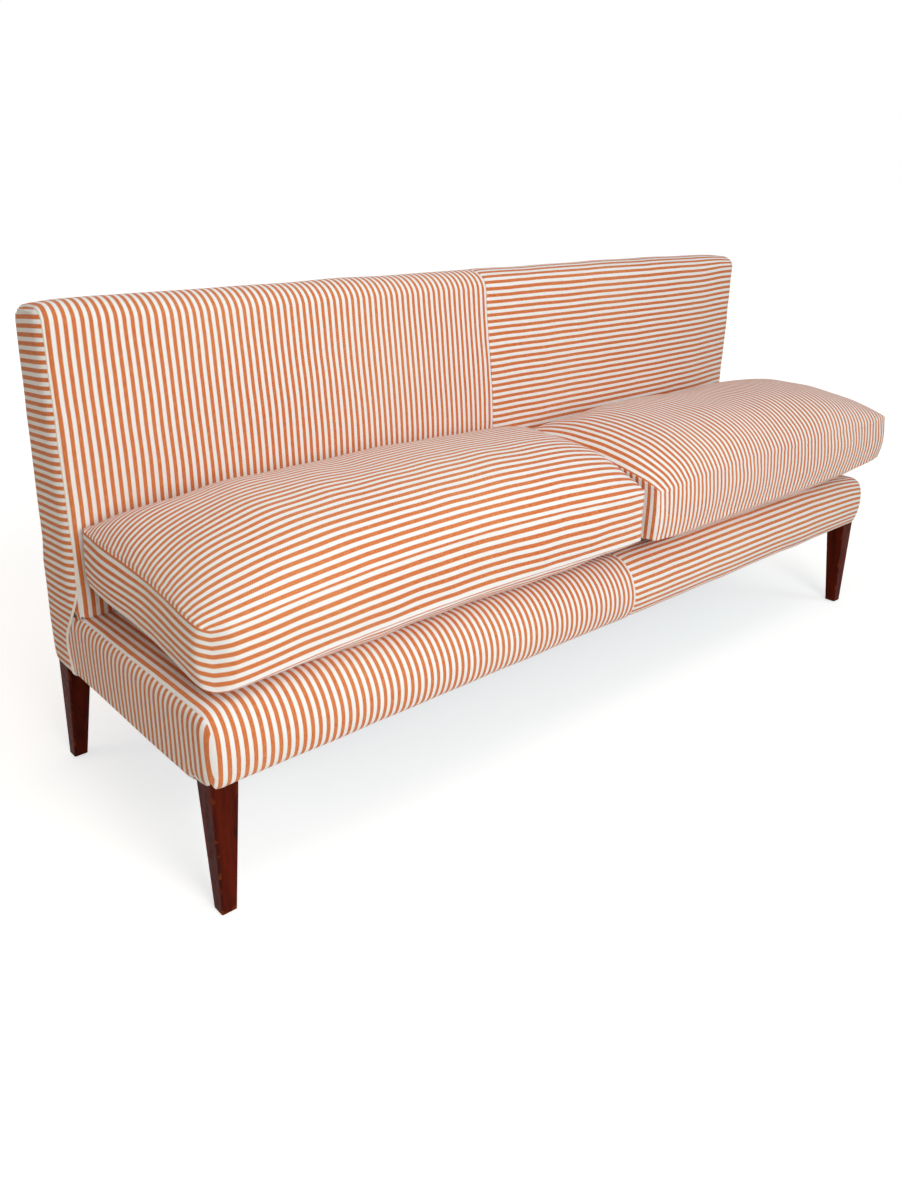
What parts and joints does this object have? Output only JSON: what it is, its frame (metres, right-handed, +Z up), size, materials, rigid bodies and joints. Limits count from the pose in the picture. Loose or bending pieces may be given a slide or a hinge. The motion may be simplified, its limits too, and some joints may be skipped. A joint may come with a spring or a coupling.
{
  "type": "banquette",
  "caption": "Long armless upholstered bench with a tight back, loose box cushions and tapered wooden legs, in a two-way stripe.",
  "frame": {"origin": "middle of the footprint at floor level, under the middle of the bounding box", "axes": "+X along the seat to the right as a sitter's viewer faces it, +Y from the front to the back, +Z up"},
  "size_m": [1.98, 0.681, 0.906],
  "materials": {
    "mahogany": "satin red-brown stain",
    "frame_timber": "bare planed beech",
    "zinc_steel": "zinc plated",
    "jute_webbing": "woven jute",
    "hessian": "loose plain weave",
    "foam": "polyurethane foam",
    "fibre_fill": "polyester and feather fill in white ticking",
    "lining": "calico lining",
    "dust_cloth": "black non-woven",
    "ticking_stripe": "woven off-white and terracotta stripe, matte",
    "zip_tape": "woven tape",
    "zip_metal": "nickel"
  },
  "bodies": {
    "frame": {"front_leg_left": "mahogany", "front_leg_right": "mahogany", "rear_leg_left": "mahogany", "rear_leg_right": "mahogany", "foot_glides": "zinc_steel", "front_rail": "frame_timber", "seat_rear_rail": "frame_timber", "rear_rail": "frame_timber", "end_rail_left": "frame_timber", "end_rail_right": "frame_timber", "cross_rails": "frame_timber", "frame_dowels": "frame_timber", "corner_blocks": "frame_timber", "block_screws": "zinc_steel", "back_post_left": "frame_timber", "back_post_right": "frame_timber", "back_inner_posts": "frame_timber", "back_top_rail": "frame_timber", "back_lower_rail": "frame_timber", "back_dowels": "frame_timber", "coach_screws": "zinc_steel", "coach_washers": "zinc_steel", "seat_webbing_cross": "jute_webbing", "seat_webbing_long": "jute_webbing", "seat_hessian": "hessian", "seat_foam": "foam", "back_webbing_upright": "jute_webbing", "back_webbing_level": "jute_webbing", "back_hessian": "hessian", "back_foam": "foam", "end_wadding_left": "fibre_fill", "end_wadding_right": "fibre_fill", "base_cover_left": "ticking_stripe", "base_cover_right": "ticking_stripe", "base_end_panel_left": "ticking_stripe", "base_end_panel_right": "ticking_stripe", "back_cover_left": "ticking_stripe", "back_cover_right": "ticking_stripe", "back_end_panel_left": "ticking_stripe", "back_end_panel_right": "ticking_stripe", "outside_back_lining": "lining", "outside_back_left": "ticking_stripe", "outside_back_right": "ticking_stripe", "dust_cover": "dust_cloth"},
    "left_cushion": {"left_cushion_cover": "ticking_stripe", "left_cushion_wrap": "fibre_fill", "left_cushion_core": "foam", "left_cushion_zip": "zip_tape"},
    "left_zip": {"left_zip_slider": "zip_metal"},
    "right_cushion": {"right_cushion_cover": "ticking_stripe", "right_cushion_wrap": "fibre_fill", "right_cushion_core": "foam", "right_cushion_zip": "zip_tape"},
    "right_zip": {"right_zip_slider": "zip_metal"}
  },
  "joints": [
    {"name": "left_cushion_lift", "type": "slide", "parent": "frame", "child": "left_cushion", "axis": [0, 0, 1], "range_m": [0, 0.3]},
    {"name": "left_zip_slide", "type": "slide", "parent": "left_cushion", "child": "left_zip", "axis": [1, 0, 0], "range_m": [-0.58, 0]},
    {"name": "right_cushion_lift", "type": "slide", "parent": "frame", "child": "right_cushion", "axis": [0, 0, 1], "range_m": [0, 0.3]},
    {"name": "right_zip_slide", "type": "slide", "parent": "right_cushion", "child": "right_zip", "axis": [1, 0, 0], "range_m": [-0.58, 0]}
  ]
}
